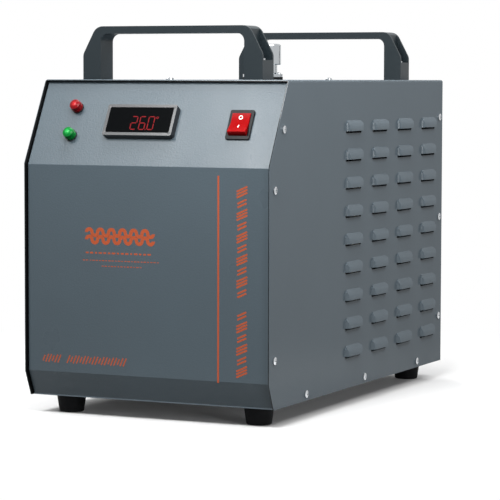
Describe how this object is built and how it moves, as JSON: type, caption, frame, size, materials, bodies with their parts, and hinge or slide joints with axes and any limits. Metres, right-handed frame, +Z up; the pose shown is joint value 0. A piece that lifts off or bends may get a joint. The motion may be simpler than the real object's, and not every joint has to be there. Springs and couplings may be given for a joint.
{
  "type": "recirculating chiller",
  "caption": "Bench-top recirculating water chiller: louvred folded hood over a sheet steel chassis, sloped control face, bridge handles, filler on top.",
  "frame": {"origin": "middle of the footprint, on the surface that the feet stand on", "axes": "+X to the viewer's right, +Y to the back, +Z up; the control face looks to -Y"},
  "size_m": [0.279, 0.49, 0.39],
  "materials": {
    "hood_paint": "fine matt powder coat, dark grey",
    "front_paint": "fine matt powder coat, dark grey",
    "black_plastic": "moulded, satin",
    "rubber": "matt black",
    "nickel": "nickel plated",
    "chrome": "polished",
    "dark_window": "smoked, glossy",
    "red_plastic": "glossy red",
    "red_lens": "ribbed clear red",
    "green_lens": "ribbed clear green",
    "brass": "turned",
    "clear_tube": "clear plastic tube",
    "tank_plastic": "blow moulded, milky",
    "white_plastic": "moulded",
    "aluminium": "bare"
  },
  "bodies": {
    "case": {"hood": "hood_paint", "front_panel": "front_paint", "base_tray": "hood_paint", "rear_panel": "hood_paint", "side_screws": "nickel", "top_screws": "nickel", "front_handle": "black_plastic", "rear_handle": "black_plastic", "handle_screws": "nickel", "handle_nuts": "nickel", "foot_front_left": "rubber", "foot_front_right": "rubber", "foot_rear_left": "rubber", "foot_rear_right": "rubber", "foot_screws": "nickel", "display_bezel": "black_plastic", "display_window": "dark_window", "switch_frame": "black_plastic", "red_lamp_holder": "chrome", "red_lamp_lens": "red_lens", "green_lamp_holder": "chrome", "green_lamp_lens": "green_lens", "filler_neck": "chrome", "filler_gasket": "rubber", "filler_screws": "nickel", "filler_strainer": "nickel", "fan_frame": "black_plastic", "fan_guard": "chrome", "fan_screws": "nickel", "water_inlet": "brass", "water_outlet": "brass", "fitting_nuts": "brass", "gauge_holder": "black_plastic", "gauge_tube": "clear_tube", "drain_fitting": "brass", "power_inlet": "black_plastic", "power_pins": "nickel", "alarm_socket": "nickel", "alarm_pins": "brass", "water_tank": "tank_plastic", "core_frame": "aluminium", "core_fins": "aluminium", "pump_body": "black_plastic", "flow_switch": "black_plastic", "control_box": "aluminium", "suction_hose": "rubber", "delivery_hose": "rubber", "outlet_hose": "rubber", "return_hose": "rubber", "tank_hose": "rubber"},
    "cap_ring": {"cap_seal": "rubber"},
    "cap": {"filler_cap": "chrome"},
    "rocker": {"rocker_button": "red_plastic"},
    "rotor": {"fan_rotor": "black_plastic"},
    "impeller": {"pump_impeller": "white_plastic"},
    "drain_plug": {"drain_cap": "black_plastic"},
    "fuse_holder": {"fuse_drawer": "black_plastic"}
  },
  "joints": [
    {"name": "cap_lift", "type": "slide", "parent": "case", "child": "cap_ring", "axis": [0, 0, 1], "range_m": [0, 0.06]},
    {"name": "cap_turn", "type": "hinge", "parent": "cap_ring", "child": "cap", "pos_m": [0, 0.0315, 0.3546], "axis": [0, 0, 1], "range_deg": [0, 90]},
    {"name": "rocker_tip", "type": "hinge", "parent": "case", "child": "rocker", "pos_m": [0.0922, -0.2196, 0.29263], "axis": [1, 0, 0], "range_deg": [0, 20]},
    {"name": "fan_spin", "type": "hinge", "parent": "case", "child": "rotor", "pos_m": [0, 0.2, 0.2445], "axis": [0, 1, 0], "continuous": true},
    {"name": "impeller_spin", "type": "hinge", "parent": "case", "child": "impeller", "pos_m": [-0.02, -0.14, 0.0592], "axis": [1, 0, 0], "continuous": true},
    {"name": "drain_cap_off", "type": "slide", "parent": "case", "child": "drain_plug", "axis": [0, 1, 0], "range_m": [0, 0.025]},
    {"name": "fuse_drawer_pull", "type": "slide", "parent": "case", "child": "fuse_holder", "axis": [0, 1, 0], "range_m": [0, 0.019]}
  ]
}
